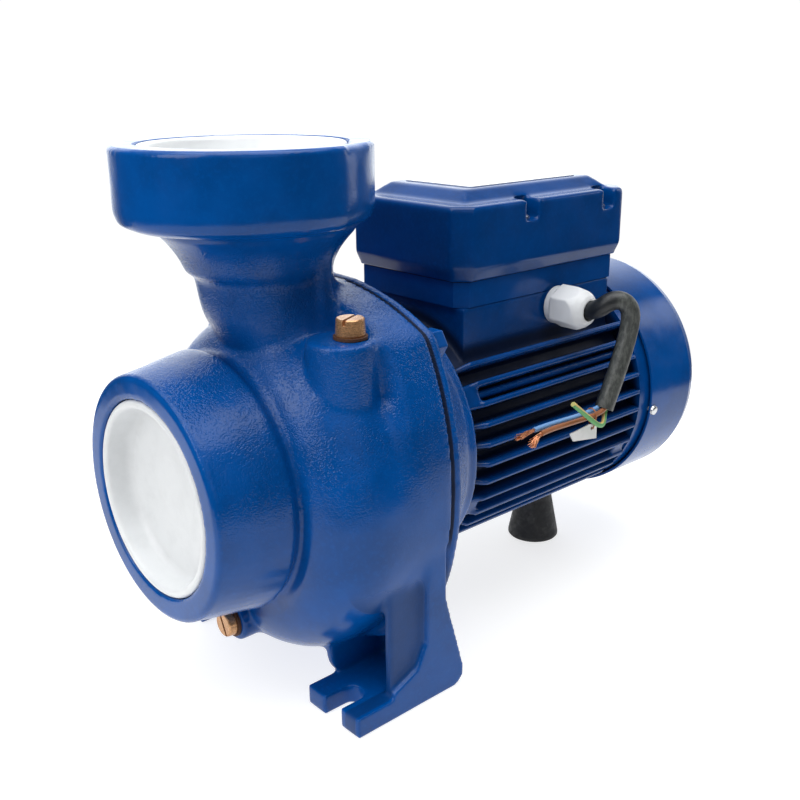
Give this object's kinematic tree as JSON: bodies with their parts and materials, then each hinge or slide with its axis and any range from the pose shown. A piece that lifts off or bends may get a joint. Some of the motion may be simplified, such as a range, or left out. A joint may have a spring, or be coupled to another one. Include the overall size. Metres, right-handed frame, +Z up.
{
  "type": "centrifugal water pump",
  "caption": "Close-coupled centrifugal water pump: cast volute with large threaded suction and discharge ports, finned fan-cooled motor, terminal box and short stripped supply cable.",
  "frame": {"origin": "on the floor, midway between the two foot bolts, under the axis of the discharge port", "axes": "+X along the shaft from the suction port to the fan cover, +Z up along the discharge port"},
  "size_m": [0.406, 0.2175, 0.312],
  "materials": {
    "blue_cast": "glossy blue enamel on sand-cast iron",
    "blue_frame": "glossy blue enamel on die-cast aluminium",
    "blue_box": "glossy blue enamel, smooth",
    "blue_sheet": "glossy blue enamel on pressed steel",
    "white_plastic": "white moulded polyethylene",
    "brass": "machined brass",
    "fibre_washer": "red-brown fibre",
    "black_rubber": "matt",
    "gasket": "matt",
    "steel": "bare",
    "zinc_steel": "bright zinc",
    "painted_bolt": "overpainted",
    "carbon": "carbon graphite",
    "ceramic": "alumina",
    "lamination": "laminated",
    "aluminium": "cast",
    "copper": "enamelled or bare copper",
    "fan_plastic": "glass-filled nylon",
    "board": "moulded phenolic",
    "capacitor": "white case",
    "nameplate": "blank satin plate",
    "cable_sheath": "semi-matt black PVC",
    "core_brown": "brown insulation",
    "core_blue": "light blue insulation",
    "core_earth": "green insulation with a yellow stripe",
    "tag": "white plastic"
  },
  "bodies": {
    "pump_body": {"blank_nameplate": "nameplate", "bracket_bolts": "painted_bolt", "casing_gasket": "gasket", "copper_strands": "copper", "core_blue": "core_blue", "core_brown": "core_brown", "core_earth": "core_earth", "cover_screws": "zinc_steel", "earth_screw": "brass", "fan_cover": "blue_sheet", "fan_cover_screws": "zinc_steel", "front_bearing_outer_ring": "steel", "gland_body": "white_plastic", "gland_nut": "white_plastic", "gland_seal": "black_rubber", "motor_bracket": "blue_cast", "motor_frame": "blue_frame", "power_cable": "cable_sheath", "rear_bearing_outer_ring": "steel", "rear_end_shield": "blue_frame", "run_capacitor": "capacitor", "seal_seat": "ceramic", "stator_core": "lamination", "stator_windings": "copper", "support_foot": "black_rubber", "support_foot_screw": "zinc_steel", "terminal_board": "board", "terminal_box_base": "blue_box", "terminal_box_cover": "blue_box", "terminal_box_gasket": "gasket", "terminal_studs": "brass", "tie_bolts": "painted_bolt", "volute_casing": "blue_cast", "wave_spring": "steel", "wire_tag": "tag"},
    "rotor": {"shaft": "steel", "impeller": "brass", "impeller_key": "steel", "impeller_washer": "zinc_steel", "impeller_nut": "brass", "seal_rotating_face": "carbon", "seal_bellows": "black_rubber", "seal_spring": "steel", "water_slinger": "black_rubber", "rotor_core": "lamination", "rotor_end_rings": "aluminium", "front_bearing_inner_ring": "steel", "rear_bearing_inner_ring": "steel", "cooling_fan": "fan_plastic", "fan_circlip": "steel"},
    "front_ball_set": {"front_bearing_cage": "zinc_steel", "front_bearing_balls": "steel"},
    "rear_ball_set": {"rear_bearing_cage": "zinc_steel", "rear_bearing_balls": "steel"},
    "prime_washer": {"prime_plug_washer": "fibre_washer"},
    "prime_plug": {"prime_plug": "brass"},
    "drain_washer": {"drain_plug_washer": "fibre_washer"},
    "drain_plug": {"drain_plug": "brass"},
    "suction_cap": {"suction_thread_cap": "white_plastic"},
    "discharge_cap": {"discharge_thread_cap": "white_plastic"}
  },
  "joints": [
    {"name": "rotor_spin", "type": "hinge", "parent": "pump_body", "child": "rotor", "pos_m": [0, 0, 0.126], "axis": [1, 0, 0], "continuous": true},
    {"name": "front_ball_set_spin", "type": "hinge", "parent": "pump_body", "child": "front_ball_set", "pos_m": [0.0895, 0, 0.126], "axis": [1, 0, 0], "continuous": true},
    {"name": "rear_ball_set_spin", "type": "hinge", "parent": "pump_body", "child": "rear_ball_set", "pos_m": [0.258, 0, 0.126], "axis": [1, 0, 0], "continuous": true},
    {"name": "prime_plug_travel", "type": "slide", "parent": "pump_body", "child": "prime_washer", "axis": [0, 0, 1], "range_m": [0, 0.00668]},
    {"name": "prime_plug_turn", "type": "hinge", "parent": "prime_washer", "child": "prime_plug", "pos_m": [0.014, -0.07, 0.215], "axis": [0, 0, 1], "range_deg": [0, 1800]},
    {"name": "drain_plug_travel", "type": "slide", "parent": "pump_body", "child": "drain_washer", "axis": [-1, 0, 0], "range_m": [0, 0.00668]},
    {"name": "drain_plug_turn", "type": "hinge", "parent": "drain_washer", "child": "drain_plug", "pos_m": [-0.029, -0.005, 0.036], "axis": [-1, 0, 0], "range_deg": [0, 1800]},
    {"name": "suction_cap_pull", "type": "slide", "parent": "pump_body", "child": "suction_cap", "axis": [-1, 0, 0], "range_m": [0, 0.04]},
    {"name": "discharge_cap_pull", "type": "slide", "parent": "pump_body", "child": "discharge_cap", "axis": [0, 0, 1], "range_m": [0, 0.04]}
  ],
  "couplings": [
    {"joint": "front_ball_set_spin", "follows": "rotor_spin", "ratio": 0.3969},
    {"joint": "rear_ball_set_spin", "follows": "rotor_spin", "ratio": 0.3815},
    {"joint": "prime_plug_turn", "follows": "prime_plug_travel", "rad_per_m": 4699.5},
    {"joint": "drain_plug_turn", "follows": "drain_plug_travel", "rad_per_m": 4699.5}
  ]
}
